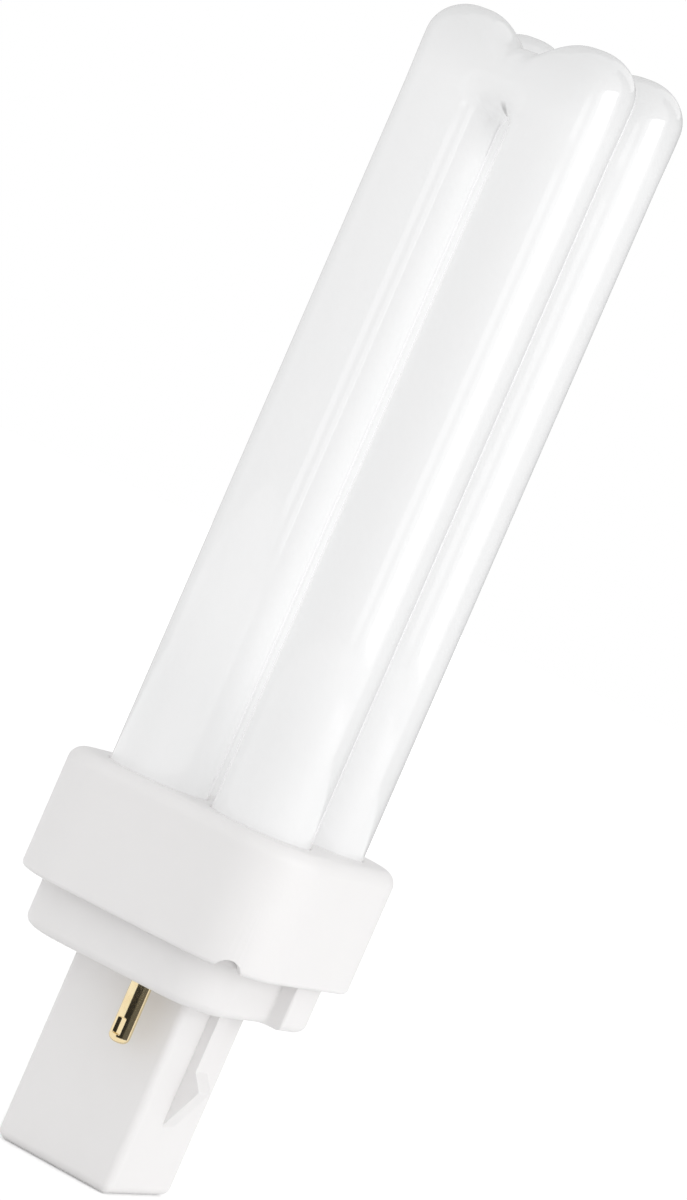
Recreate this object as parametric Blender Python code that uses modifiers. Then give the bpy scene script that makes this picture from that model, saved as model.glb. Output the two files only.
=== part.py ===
"""Plug-in fluorescent lamp: two glass U tubes on a square two-pin base.

The lamp stands on the end of its post. +Z runs up its axis to the tops of the tubes, -Y is the side of the
front pin, and the origin is the centre of the post's end face. All lengths are in metres.
"""
import math

import bmesh
import bpy
from mathutils import Vector

# Fits
GAP = 0.0003
JOIN_OVERLAP = 0.0008

# Levels along the axis, from the end of the post
SEAT_LEVEL = 0.0238
COLLAR_LOW = 0.0298
COLLAR_HIGH = 0.0448
FRONT_TUBE_TOP = 0.1392
REAR_TUBE_TOP = 0.1400

# Glass tubes
TUBE_DIAMETER = 0.0120
LEG_GAP = 0.0022
ROW_GAP = 0.0026
DOME_RISE = 0.0043
DOME_OUTSET = 0.0010
SADDLE_DIP = 0.0028
SADDLE_SPREAD = 1.4
CROTCH_DROP = 0.0107
CROTCH_REACH = 0.0037
BRIDGE_DIAMETER = 0.0050

# Hidden ends of the glass legs
PINCH_WIDTH = 0.0100
PINCH_THICKNESS = 0.0028
PINCH_HEIGHT = 0.0025
PINCH_TAPER = 0.0035
TIP_DIAMETER = 0.0024
TIP_LENGTH = 0.0008
END_DOME_RISE = 0.0026

# Collar
LEG_TO_WALL = 0.0022
COLLAR_CORNER = 0.0080
COLLAR_WALL = 0.0015
COLLAR_TOP_FILLET = 0.0017
COLLAR_RIM_FILLET = 0.0005
NOTCH_RADIUS = 0.0017
NOTCH_SINK = 0.0005
NOTCH_TURN = math.radians(43)
CEMENT_THICKNESS = 0.0040

# Keyed tier and skirt of the pin base
KEY_LUG_INSET = 0.0001
KEY_DEPTH = 0.0021
KEY_STEP_Y = 0.0019
TIER_SMALL_CORNER = 0.0060
TIER_LARGE_CORNER = 0.0080
TIER_FILLET = 0.0011
TIER_WALL = 0.0011
SKIRT_STEP = 0.0003
SKIRT_HEIGHT = 0.0022
SKIRT_WALL = 0.0014
SEAT_PLATE = 0.0016
FOOT_CLEARANCE = 0.0004

# Post and its snap ribs
POST_WIDTH = 0.0159
POST_CORNER = 0.0009
POST_END_FILLET = 0.0012
POST_WALL = 0.0014
RIB_WIDTH = 0.0030
RIB_PROUD = 0.0012
BARB_PROUD = 0.0026
RIB_END_LEVEL = 0.0160
BARB_PEAK_LEVEL = 0.0141
BARB_FOOT_LEVEL = 0.0087

# Contact pins
PIN_SPACING = 0.0240
PIN_OFFSET_X = 0.0034
PIN_DIAMETER = 0.0025
PIN_LENGTH = 0.0072
PIN_TIP_ROUND = 0.0008
PIN_HEAD_DIAMETER = 0.0030
PIN_HEAD_HEIGHT = 0.0006
PIN_BORE = 0.0013
PIN_END_WALL = 0.0010
CRIMP_WIDTH = 0.0011
CRIMP_HEIGHT = 0.0019
CRIMP_DEPTH = 0.0003
CRIMP_ABOVE_TIP = 0.0010

# Starter parts in the post
STARTER_TO_CAPACITOR = 0.0021
STARTER_HEIGHT = 0.0160
STARTER_NECK = 0.0032
CAPACITOR_WIDTH = 0.0086
CAPACITOR_THICKNESS = 0.0034
CAPACITOR_HEIGHT = 0.0105
CAPACITOR_ROUND = 0.0010

# Wires, sleeves and ferrules
WIRE_DIAMETER = 0.0005
SLEEVE_DIAMETER = 0.0018
SLEEVE_START = 0.30
SLEEVE_END = 0.80
FERRULE_DIAMETER = 0.0028
FERRULE_BORE = 0.0019
FERRULE_LENGTH = 0.0036
FERRULE_SPREAD = 0.0052
FERRULE_ABOVE_STARTER = 0.0028
PINCH_LEAD_SPREAD = 0.0032
GLOW_LEAD_SPREAD = 0.0016
CAPACITOR_LEAD_SPREAD = 0.0050

# Fineness of curved surfaces
DOME_STEPS = 9
SADDLE_STEPS = 6
RING_POINTS = 24
CORNER_SEGMENTS = 7
ROUND_STEPS = 24
SMALL_ROUND_STEPS = 16

# Values that follow from the sizes above
TUBE_RADIUS = TUBE_DIAMETER / 2
LEG_AT = (TUBE_DIAMETER + LEG_GAP) / 2
ROW_AT = (TUBE_DIAMETER + ROW_GAP) / 2
CROTCH_RADIUS = LEG_GAP / 2
PIN_RADIUS = PIN_DIAMETER / 2
PIN_Y = math.sqrt((PIN_SPACING / 2) ** 2 - PIN_OFFSET_X ** 2)
TIER_HALF_Y = PIN_Y + PIN_HEAD_DIAMETER / 2 + GAP + TIER_WALL
INNER_HALF = max(max(LEG_AT, ROW_AT) + TUBE_RADIUS + LEG_TO_WALL, TIER_HALF_Y + GAP)
COLLAR_HALF = INNER_HALF + COLLAR_WALL
INNER_CORNER = COLLAR_CORNER - COLLAR_WALL
CEILING = COLLAR_HIGH - COLLAR_WALL
CEMENT_HIGH = CEILING - GAP
CEMENT_LOW = CEMENT_HIGH - CEMENT_THICKNESS
BRIDGE_LEVEL = CEMENT_LOW - GAP - BRIDGE_DIAMETER / 2
SKIRT_HALF = INNER_HALF - GAP
SKIRT_LOW = COLLAR_LOW + SKIRT_STEP
SKIRT_HIGH = COLLAR_LOW + SKIRT_HEIGHT
FOOT_LEVEL = SKIRT_HIGH + FOOT_CLEARANCE
KEY_LUG_X = SKIRT_HALF - KEY_LUG_INSET
KEY_RECESS_X = KEY_LUG_X - KEY_DEPTH
SEAT_PLATE_TOP = SEAT_LEVEL + SEAT_PLATE
POST_HALF = POST_WIDTH / 2
POST_CAVITY_HALF = POST_HALF - POST_WALL
POST_FLOOR = POST_WALL
PIN_TIP_LEVEL = SEAT_LEVEL - PIN_LENGTH
PIN_HEAD_LOW = SEAT_PLATE_TOP + GAP
PIN_TOP = PIN_HEAD_LOW + PIN_HEAD_HEIGHT
PIN_BORE_END = PIN_TIP_LEVEL + PIN_END_WALL
WIRE_RADIUS = WIRE_DIAMETER / 2
STARTER_DIAMETER = 2 * (POST_CAVITY_HALF - GAP) - CAPACITOR_THICKNESS - STARTER_TO_CAPACITOR
STARTER_LOW = POST_FLOOR + GAP
STARTER_TOP = STARTER_LOW + STARTER_HEIGHT
STARTER_Y = -(POST_CAVITY_HALF - GAP - STARTER_DIAMETER / 2)
CAPACITOR_TOP = STARTER_LOW + CAPACITOR_HEIGHT
CAPACITOR_Y = POST_CAVITY_HALF - GAP - CAPACITOR_THICKNESS / 2
FERRULE_LOW = STARTER_TOP + FERRULE_ABOVE_STARTER
FERRULE_HIGH = FERRULE_LOW + FERRULE_LENGTH
FERRULE_MIDDLE = FERRULE_LOW + FERRULE_LENGTH / 2
FERRULE_WIRE_OFFSET = WIRE_RADIUS + GAP / 2


def clear_scene():
    """Remove every object of the open scene."""
    for item in list(bpy.data.objects):
        bpy.data.objects.remove(item, do_unlink=True)


def make_collection(name):
    """Add a collection to the scene."""
    collection = bpy.data.collections.new(name)
    bpy.context.scene.collection.children.link(collection)
    return collection


def make_material(name, colour, roughness, metallic=0.0):
    """Plain Principled material."""
    material = bpy.data.materials.new(name)
    material.use_nodes = True
    shader = material.node_tree.nodes["Principled BSDF"]
    shader.inputs["Base Color"].default_value = (*colour, 1.0)
    shader.inputs["Roughness"].default_value = roughness
    shader.inputs["Metallic"].default_value = metallic
    return material


def make_object(name, data, collection, material=None):
    """Wrap mesh or curve data in an object of the given collection."""
    item = bpy.data.objects.new(name, data)
    collection.objects.link(item)
    if material:
        data.materials.append(material)
    return item


def finish_mesh(name, shape):
    """Turn an edit mesh into mesh data that is shaded smooth across its gentle angles."""
    bmesh.ops.recalc_face_normals(shape, faces=shape.faces)
    mesh = bpy.data.meshes.new(name)
    shape.to_mesh(mesh)
    shape.free()
    mesh.shade_smooth()
    mesh.set_sharp_from_angle(angle=math.radians(40))
    return mesh


def round_edges(shape, edges, radius, segments):
    """Give the listed edges a round of the given radius."""
    bmesh.ops.bevel(shape, geom=edges, offset=radius, offset_type='OFFSET', segments=segments,
                    profile=0.5, affect='EDGES', clamp_overlap=True)


def round_rim(shape, level, radius, segments=3):
    """Round the rim where the side walls meet the flat face at one level."""
    if radius <= 0:
        return
    flat = [face for face in shape.faces if all(abs(vert.co.z - level) < 1e-6 for vert in face.verts)]
    rim = {edge for face in flat for edge in face.edges
           if any(other not in flat for other in edge.link_faces)}
    round_edges(shape, list(rim), radius, segments)


def rounded_block(name, half_x, half_y, low, high, corner, low_fillet=0.0, high_fillet=0.0):
    """Upright block with round corners in plan and soft rims."""
    shape = bmesh.new()
    bmesh.ops.create_cube(shape, size=1.0)
    bmesh.ops.scale(shape, vec=(2 * half_x, 2 * half_y, high - low), verts=shape.verts)
    bmesh.ops.translate(shape, vec=(0.0, 0.0, (low + high) / 2), verts=shape.verts)
    upright = [edge for edge in shape.edges
               if abs(edge.verts[0].co.z - edge.verts[1].co.z) > (high - low) / 2]
    round_edges(shape, upright, corner, CORNER_SEGMENTS)
    round_rim(shape, high, high_fillet)
    round_rim(shape, low, low_fillet)
    return finish_mesh(name, shape)


def round_bar(name, radius, low, high, steps=ROUND_STEPS):
    """Upright cylinder between two levels."""
    shape = bmesh.new()
    bmesh.ops.create_cone(shape, cap_ends=True, segments=steps, radius1=radius, radius2=radius,
                          depth=high - low)
    bmesh.ops.translate(shape, vec=(0.0, 0.0, (low + high) / 2), verts=shape.verts)
    return finish_mesh(name, shape)


def weld_evaluated(item, collection, material=None):
    """Replace a curve object with its own mesh, with the caps welded on."""
    bpy.context.view_layer.update()
    graph = bpy.context.evaluated_depsgraph_get()
    mesh = bpy.data.meshes.new_from_object(item.evaluated_get(graph))
    shape = bmesh.new()
    shape.from_mesh(mesh)
    bmesh.ops.remove_doubles(shape, verts=shape.verts, dist=1e-7)
    place = item.matrix_world.copy()
    name = item.name
    bpy.data.objects.remove(item, do_unlink=True)
    bpy.data.meshes.remove(mesh)
    solid = make_object(name, finish_mesh(name, shape), collection, material)
    solid.matrix_world = place
    return solid


def outline_solid(name, points, low, high, collection):
    """Flat closed outline, given as XY points, made solid between two levels."""
    curve = bpy.data.curves.new(name, 'CURVE')
    curve.dimensions = '2D'
    curve.fill_mode = 'BOTH'
    curve.extrude = (high - low) / 2
    spline = curve.splines.new('POLY')
    spline.points.add(len(points) - 1)
    for point, (x, y) in zip(spline.points, points):
        point.co = (x, y, 0.0, 1.0)
    spline.use_cyclic_u = True
    item = make_object(name, curve, collection)
    item.location.z = (low + high) / 2
    return weld_evaluated(item, collection)


def apply_boolean(target, tool, operation):
    """Join a helper solid to the target, or cut it away, and show the helper as wires only."""
    modifier = target.modifiers.new(f"{operation.lower()} {tool.name}", 'BOOLEAN')
    modifier.operation = operation
    modifier.object = tool
    tool.hide_render = True
    tool.display_type = 'WIRE'


def arc_points(centre_x, centre_y, radius, start_degrees, end_degrees, steps=CORNER_SEGMENTS):
    """Points along an arc in plan."""
    points = []
    for step in range(steps + 1):
        angle = math.radians(start_degrees + (end_degrees - start_degrees) * step / steps)
        points.append((centre_x + radius * math.cos(angle), centre_y + radius * math.sin(angle)))
    return points


# Glass

def dome_outline(steps=96):
    """Right half of the bend's outer line, as (x, height above the bend's centre), foot to saddle.

    It rises straight, turns over in a quarter ellipse to the top of the dome, and falls along half a cosine
    wave, raised to a power that widens the top of the dome, to the saddle in the middle.
    """
    outer_x = LEG_AT + TUBE_RADIUS
    peak_x = LEG_AT + DOME_OUTSET
    peak = CROTCH_DROP + CROTCH_RADIUS
    points = [(outer_x, 0.0)]
    for step in range(steps + 1):
        angle = math.pi / 2 * step / steps
        points.append((peak_x + (outer_x - peak_x) * math.cos(angle),
                       peak - DOME_RISE * (1 - math.sin(angle))))
    for step in range(1, steps + 1):
        share = step / steps
        fall = ((1 - math.cos(math.pi * share)) / 2) ** SADDLE_SPREAD
        points.append((peak_x * (1 - share), peak - SADDLE_DIP * fall))
    return points


def point_at_angle(points, angle):
    """Point where a ray from the bend's centre, at an angle above +X, meets the outline."""
    for (x0, z0), (x1, z1) in zip(points, points[1:]):
        side0 = z0 * math.cos(angle) - x0 * math.sin(angle)
        side1 = z1 * math.cos(angle) - x1 * math.sin(angle)
        if side0 <= 0 <= side1:
            share = 0.0 if side1 == side0 else -side0 / (side1 - side0)
            return x0 + (x1 - x0) * share, z0 + (z1 - z0) * share
    return points[-1]


def section_ring(middle_x, middle_z, half_width, half_depth, lean, tube_y, reaches=None):
    """Ring of points around one section, whose wide axis leans by an angle from +X in the tube's plane.

    Each end of the section is half an ellipse. Its reach along the wide axis is half the width, or is given
    as (inner, outer), and then the section is nearly level between the two, as the mould leaves it.
    """
    inner_reach, outer_reach = reaches or (half_width, half_width)
    level_half = half_width - (inner_reach + outer_reach) / 2
    level_middle = (inner_reach - outer_reach) / 2
    ring = []
    for step in range(RING_POINTS):
        angle = 2 * math.pi * step / RING_POINTS
        end_reach = outer_reach if math.cos(angle) > 0 else inner_reach
        across = (level_middle + level_half * max(-1.0, min(1.0, 3 * math.cos(angle)))
                  + end_reach * math.cos(angle))
        ring.append(Vector((middle_x + across * math.cos(lean), tube_y + half_depth * math.sin(angle),
                            middle_z + across * math.sin(lean))))
    return ring


def bend_reaches(angle, half_width):
    """How far the inner and outer rounds of a bend section reach along it.

    Both fall from the tube's radius on the legs to half the thin middle, the outer one close to the saddle.
    """
    inner = CROTCH_REACH + (TUBE_RADIUS - CROTCH_REACH) * math.cos(angle) ** 2
    outer = CROTCH_REACH + (TUBE_RADIUS - CROTCH_REACH) * min(1.0, 2 * abs(math.cos(angle)))
    return min(inner, half_width), min(outer, half_width)


def bend_angles():
    """Angles of the bend's sections above +X, from the -X leg to the +X leg, with one on each dome's peak."""
    peak_angle = math.atan2(CROTCH_DROP + CROTCH_RADIUS, LEG_AT + DOME_OUTSET)
    rising = [peak_angle * step / DOME_STEPS for step in range(DOME_STEPS)]
    rising += [peak_angle + (math.pi / 2 - peak_angle) * step / SADDLE_STEPS
               for step in range(SADDLE_STEPS + 1)]
    return [math.pi - angle for angle in rising[:-1]] + rising[::-1]


def pinch_foot():
    """Sections (level, half width, half depth) of a leg that ends in a flat pinch seal, top to bottom."""
    flat_level = FOOT_LEVEL + PINCH_HEIGHT
    sections = []
    for step in range(5):
        share = (1 - math.cos(math.pi * step / 4)) / 2
        sections.append((flat_level + PINCH_TAPER * (1 - step / 4),
                         TUBE_RADIUS + (PINCH_WIDTH / 2 - TUBE_RADIUS) * share,
                         TUBE_RADIUS + (PINCH_THICKNESS / 2 - TUBE_RADIUS) * share))
    sections.append((FOOT_LEVEL, PINCH_WIDTH / 2, PINCH_THICKNESS / 2))
    return sections


def tipped_foot():
    """Sections of a leg that ends in a low dome with a sealed exhaust tip, top to bottom."""
    dome_level = FOOT_LEVEL + TIP_LENGTH + END_DOME_RISE
    tip_radius = TIP_DIAMETER / 2
    last_angle = math.acos(tip_radius / TUBE_RADIUS)
    sections = []
    for step in range(6):
        angle = last_angle * step / 5
        radius = TUBE_RADIUS * math.cos(angle)
        drop = END_DOME_RISE * math.sin(angle) / math.sin(last_angle)
        sections.append((dome_level - drop, radius, radius))
    sections.append((FOOT_LEVEL, tip_radius, tip_radius))
    return sections


def u_tube(name, tube_y, top):
    """One U tube as a loft: pinched foot, leg, double-domed bend, leg, tipped foot.

    In the bend the sections stand on planes that turn about the centre of the crotch. Each spans from the
    small inner round to the domed outer line, so the moulded corners come out full.
    """
    centre_z = top - CROTCH_DROP - CROTCH_RADIUS
    outline = dome_outline()
    rings = [section_ring(-LEG_AT, level, half_width, half_depth, math.pi, tube_y)
             for level, half_width, half_depth in reversed(pinch_foot())]
    for angle in bend_angles():
        side = 1 if angle <= math.pi / 2 else -1
        outer_x, outer_z = point_at_angle(outline, min(angle, math.pi - angle))
        inner_x = CROTCH_RADIUS * math.cos(angle)
        inner_z = CROTCH_RADIUS * math.sin(angle)
        half_width = math.hypot(side * outer_x - inner_x, outer_z - inner_z) / 2
        rings.append(section_ring((side * outer_x + inner_x) / 2, centre_z + (outer_z + inner_z) / 2,
                                  half_width, TUBE_RADIUS, angle, tube_y,
                                  bend_reaches(angle, half_width)))
    rings += [section_ring(LEG_AT, level, half_width, half_depth, 0.0, tube_y)
              for level, half_width, half_depth in tipped_foot()]
    shape = bmesh.new()
    loops = [[shape.verts.new(point) for point in ring] for ring in rings]
    for loop, following in zip(loops, loops[1:]):
        for step in range(RING_POINTS):
            after = (step + 1) % RING_POINTS
            shape.faces.new((loop[step], loop[after], following[after], following[step]))
    shape.faces.new(loops[0])
    shape.faces.new(loops[-1])
    return finish_mesh(name, shape)


def build_glass(parts, cutters, glass):
    """The sealed vessel: both U tubes and the bridge tube that fuses them, as one solid."""
    vessel = make_object("glass_discharge_tube", u_tube("glass_discharge_tube", -ROW_AT, FRONT_TUBE_TOP),
                         parts, glass)
    rear = make_object("rear_u_tube", u_tube("rear_u_tube", ROW_AT, REAR_TUBE_TOP), cutters)
    bridge = make_object("bridge_tube", round_bar("bridge_tube", BRIDGE_DIAMETER / 2, -ROW_AT, ROW_AT,
                                                  SMALL_ROUND_STEPS), cutters)
    bridge.location = (LEG_AT, 0.0, BRIDGE_LEVEL)
    bridge.rotation_euler.x = math.pi / 2
    apply_boolean(vessel, bridge, 'UNION')
    apply_boolean(vessel, rear, 'UNION')
    return vessel


def cut_leg_holes(target, cutters, low, high):
    """Cut the four holes that the glass legs pass through."""
    for side_x, side_y in ((-1, -1), (1, -1), (-1, 1), (1, 1)):
        name = f"leg hole {target.name} {side_x} {side_y}"
        hole = make_object(name, round_bar(name, TUBE_RADIUS + GAP, low, high), cutters)
        hole.location = (side_x * LEG_AT, side_y * ROW_AT, 0.0)
        apply_boolean(target, hole, 'DIFFERENCE')


# Collar and cement

def build_collar(parts, cutters, plastic):
    """Square collar, open below, with four leg holes and a round notch in the rim at one corner."""
    collar = make_object("collar_shell", rounded_block("collar_shell", COLLAR_HALF, COLLAR_HALF, COLLAR_LOW,
                                                       COLLAR_HIGH, COLLAR_CORNER, COLLAR_RIM_FILLET,
                                                       COLLAR_TOP_FILLET), parts, plastic)
    hollow = make_object("collar_hollow", rounded_block("collar_hollow", INNER_HALF, INNER_HALF,
                                                        COLLAR_LOW - COLLAR_WALL, CEILING, INNER_CORNER),
                         cutters)
    apply_boolean(collar, hollow, 'DIFFERENCE')
    cut_leg_holes(collar, cutters, CEILING - COLLAR_WALL, COLLAR_HIGH + COLLAR_WALL)
    notch = make_object("collar_notch", round_bar("collar_notch", NOTCH_RADIUS, 0.0, 2 * COLLAR_HALF,
                                                  SMALL_ROUND_STEPS), cutters)
    notch.location = (0.0, 0.0, COLLAR_LOW - NOTCH_SINK)
    notch.rotation_euler = (math.pi / 2, 0.0, NOTCH_TURN)
    apply_boolean(collar, notch, 'DIFFERENCE')
    return collar


def build_cement(parts, cutters, cement):
    """Bed of cement around the legs, under the collar's top."""
    bed = make_object("fixing_cement", rounded_block("fixing_cement", SKIRT_HALF, SKIRT_HALF, CEMENT_LOW,
                                                     CEMENT_HIGH, INNER_CORNER - GAP), parts, cement)
    cut_leg_holes(bed, cutters, CEMENT_LOW - COLLAR_WALL, CEMENT_HIGH + COLLAR_WALL)
    return bed


# Pin base

def keyed_half_outline():
    """Half of the tier's plan, from the front left round to the rear right, counter-clockwise.

    The side is recessed behind the small front corner, then steps out to a lug that runs into the large rear
    corner. The other half is the same, turned by half a turn.
    """
    front = -TIER_HALF_Y
    points = arc_points(KEY_RECESS_X - TIER_SMALL_CORNER, front + TIER_SMALL_CORNER, TIER_SMALL_CORNER,
                        -90, 0)
    points.append((KEY_RECESS_X, KEY_STEP_Y))
    points.append((KEY_LUG_X, KEY_STEP_Y))
    points += arc_points(KEY_LUG_X - TIER_LARGE_CORNER, TIER_HALF_Y - TIER_LARGE_CORNER, TIER_LARGE_CORNER,
                         0, 90)
    return points


def build_tier(cutters):
    """Keyed tier with its rounded seat edge."""
    half = keyed_half_outline()
    outline = half + [(-x, -y) for x, y in half]
    tier = outline_solid("keyed_tier", outline, SEAT_LEVEL, SKIRT_LOW + JOIN_OVERLAP, cutters)
    shape = bmesh.new()
    shape.from_mesh(tier.data)
    bmesh.ops.translate(shape, vec=tier.location, verts=shape.verts)
    bmesh.ops.dissolve_limit(shape, angle_limit=math.radians(1), verts=shape.verts, edges=shape.edges)
    round_rim(shape, SEAT_LEVEL, TIER_FILLET)
    tier.location = (0.0, 0.0, 0.0)
    tier.data = finish_mesh("keyed_tier", shape)
    return tier


def snap_rib(name, cutters):
    """Upright rib on the post's +X face that swells into a barb, with a ramp below it."""
    root_x = POST_HALF - JOIN_OVERLAP
    top = SEAT_LEVEL + JOIN_OVERLAP / 2
    side = [(root_x, top), (POST_HALF + RIB_PROUD, top),
            (POST_HALF + RIB_PROUD, RIB_END_LEVEL), (POST_HALF + BARB_PROUD, BARB_PEAK_LEVEL),
            (POST_HALF, BARB_FOOT_LEVEL), (root_x, BARB_FOOT_LEVEL)]
    rib = outline_solid(name, side, -RIB_WIDTH / 2, RIB_WIDTH / 2, cutters)
    rib.rotation_euler.x = math.pi / 2
    return rib


def build_pin_base(parts, cutters, plastic):
    """Keyed tier, square hollow post with two snap ribs, and skirt, moulded as one piece."""
    base = make_object("pin_base", rounded_block("pin_base", POST_HALF, POST_HALF, 0.0,
                                                 SEAT_LEVEL + JOIN_OVERLAP, POST_CORNER, POST_END_FILLET),
                       parts, plastic)
    for name, turn in (("snap_rib_right", 0.0), ("snap_rib_left", math.pi)):
        rib = snap_rib(name, cutters)
        rib.rotation_euler.z = turn
        apply_boolean(base, rib, 'UNION')
    apply_boolean(base, build_tier(cutters), 'UNION')
    skirt = rounded_block("skirt", SKIRT_HALF, SKIRT_HALF, SKIRT_LOW, SKIRT_HIGH, INNER_CORNER - GAP)
    apply_boolean(base, make_object("skirt", skirt, cutters), 'UNION')
    over = SKIRT_HIGH + COLLAR_WALL
    skirt_cavity_half = SKIRT_HALF - SKIRT_WALL
    hollows = {
        "skirt_hollow": (skirt_cavity_half, skirt_cavity_half, SKIRT_LOW + JOIN_OVERLAP,
                         INNER_CORNER - GAP - SKIRT_WALL),
        "tier_hollow": (KEY_RECESS_X - TIER_WALL, TIER_HALF_Y - TIER_WALL, SEAT_PLATE_TOP,
                        TIER_SMALL_CORNER - TIER_WALL),
        "post_hollow": (POST_CAVITY_HALF, POST_CAVITY_HALF, POST_FLOOR, POST_CORNER),
    }
    for name, (half_x, half_y, floor, corner) in hollows.items():
        hollow = make_object(name, rounded_block(name, half_x, half_y, floor, over, corner), cutters)
        apply_boolean(base, hollow, 'DIFFERENCE')
    for name, (x, y) in pin_places().items():
        hole_name = f"hole {name}"
        hole = make_object(hole_name, round_bar(hole_name, PIN_RADIUS + GAP, SEAT_LEVEL - SEAT_PLATE,
                                                SEAT_PLATE_TOP + SEAT_PLATE, SMALL_ROUND_STEPS), cutters)
        hole.location = (x, y, 0.0)
        apply_boolean(base, hole, 'DIFFERENCE')
    return base


# Turned pieces

def turned_piece(name, profile, collection, material, steps=SMALL_ROUND_STEPS):
    """Solid turned about Z from a profile of (radius, level) points that starts and ends at the axis."""
    mesh = bpy.data.meshes.new(name)
    mesh.from_pydata([(radius, 0.0, level) for radius, level in profile],
                     [(index, index + 1) for index in range(len(profile) - 1)], [])
    item = make_object(name, mesh, collection, material)
    screw = item.modifiers.new("turn", 'SCREW')
    screw.steps = steps
    screw.render_steps = steps
    screw.use_merge_vertices = True
    screw.merge_threshold = 1e-6
    screw.use_smooth_shade = True
    return item


def pin_places():
    """Plan position of each contact pin, opposite each other across the axis."""
    return {"contact_pin_front": (PIN_OFFSET_X, -PIN_Y), "contact_pin_rear": (-PIN_OFFSET_X, PIN_Y)}


def build_pins(parts, cutters, brass):
    """Hollow pins with a round end, a flared head inside the base and a crimp on the outward side."""
    bore = PIN_BORE / 2
    round_over = [(PIN_RADIUS - PIN_TIP_ROUND * (1 - math.cos(angle)),
                   PIN_TIP_LEVEL + PIN_TIP_ROUND * (1 - math.sin(angle)))
                  for angle in (math.pi / 2 * step / 4 for step in range(5))]
    profile = [(0.0, PIN_BORE_END), (bore, PIN_BORE_END), (bore, PIN_TOP), (PIN_HEAD_DIAMETER / 2, PIN_TOP),
               (PIN_HEAD_DIAMETER / 2, PIN_HEAD_LOW), (PIN_RADIUS, PIN_HEAD_LOW)]
    profile += round_over + [(0.0, PIN_TIP_LEVEL)]
    crimp_middle = PIN_TIP_LEVEL + CRIMP_ABOVE_TIP + CRIMP_HEIGHT / 2
    for name, (x, y) in pin_places().items():
        pin = turned_piece(name, profile, parts, brass)
        pin.location = (x, y, 0.0)
        bpy.ops.mesh.primitive_cube_add(size=1.0)
        crimp = bpy.context.active_object
        crimp.name = f"crimp {name}"
        crimp.scale = (CRIMP_WIDTH, PIN_RADIUS, CRIMP_HEIGHT)
        outward = math.copysign(1.0, y)
        crimp.location = (x, y + outward * (PIN_RADIUS * 1.5 - CRIMP_DEPTH), crimp_middle)
        for collection in list(crimp.users_collection):
            collection.objects.unlink(crimp)
        cutters.objects.link(crimp)
        apply_boolean(pin, crimp, 'DIFFERENCE')


def build_starter(parts, glass, film):
    """Sealed glow starter and its capacitor, side by side on the floor of the post."""
    radius = STARTER_DIAMETER / 2
    neck = STARTER_NECK / 2
    shoulder = STARTER_TOP - radius
    profile = [(0.0, STARTER_TOP), (neck, STARTER_TOP)]
    profile += [(neck + (radius - neck) * math.sin(angle), STARTER_TOP - (STARTER_TOP - shoulder)
                 * (1 - 0.6 * math.cos(angle)))
                for angle in (math.pi / 2 * step / 5 for step in range(6))]
    profile += [(radius * math.cos(angle), STARTER_LOW + radius * 0.6 * (1 - math.sin(angle)))
                for angle in (math.pi / 2 * step / 5 for step in range(6))]
    profile[-1] = (0.0, STARTER_LOW)
    bulb = turned_piece("starter_bulb", profile, parts, glass)
    bulb.location.y = STARTER_Y
    block = rounded_block("starter_capacitor", CAPACITOR_WIDTH / 2, CAPACITOR_THICKNESS / 2, STARTER_LOW,
                          CAPACITOR_TOP, CAPACITOR_ROUND, CAPACITOR_ROUND, CAPACITOR_ROUND)
    capacitor = make_object("starter_capacitor", block, parts, film)
    capacitor.location.y = CAPACITOR_Y


# Wires

def bent_run(start, end, spacing):
    """Points at about even spacing along a wire that leaves one place and reaches another upright.

    It is a cubic curve whose two handles point straight along Z, each as long as three quarters of the rise.
    """
    start, end = Vector(start), Vector(end)
    handle = Vector((0.0, 0.0, 0.75 * (end.z - start.z)))
    steps = round((end - start).length / spacing)
    points = []
    for step in range(steps + 1):
        share = step / steps
        rest = 1 - share
        points.append(start * rest ** 3 + (start + handle) * 3 * rest ** 2 * share
                      + (end - handle) * 3 * rest * share ** 2 + end * share ** 3)
    return points


def straight_run(start, end, spacing):
    """Points at about even spacing after the start of a straight stretch."""
    start, end = Vector(start), Vector(end)
    steps = max(1, round((end - start).length / spacing))
    return [start.lerp(end, step / steps) for step in range(1, steps + 1)]


def swept_wire(name, route, radius, collection, material=None):
    """Round wire along a route."""
    curve = bpy.data.curves.new(name, 'CURVE')
    curve.dimensions = '3D'
    curve.bevel_depth = radius
    curve.bevel_resolution = 2
    curve.use_fill_caps = True
    spline = curve.splines.new('POLY')
    spline.points.add(len(route) - 1)
    for point, place in zip(spline.points, route):
        point.co = (*place, 1.0)
    return make_object(name, curve, collection, material)


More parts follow.
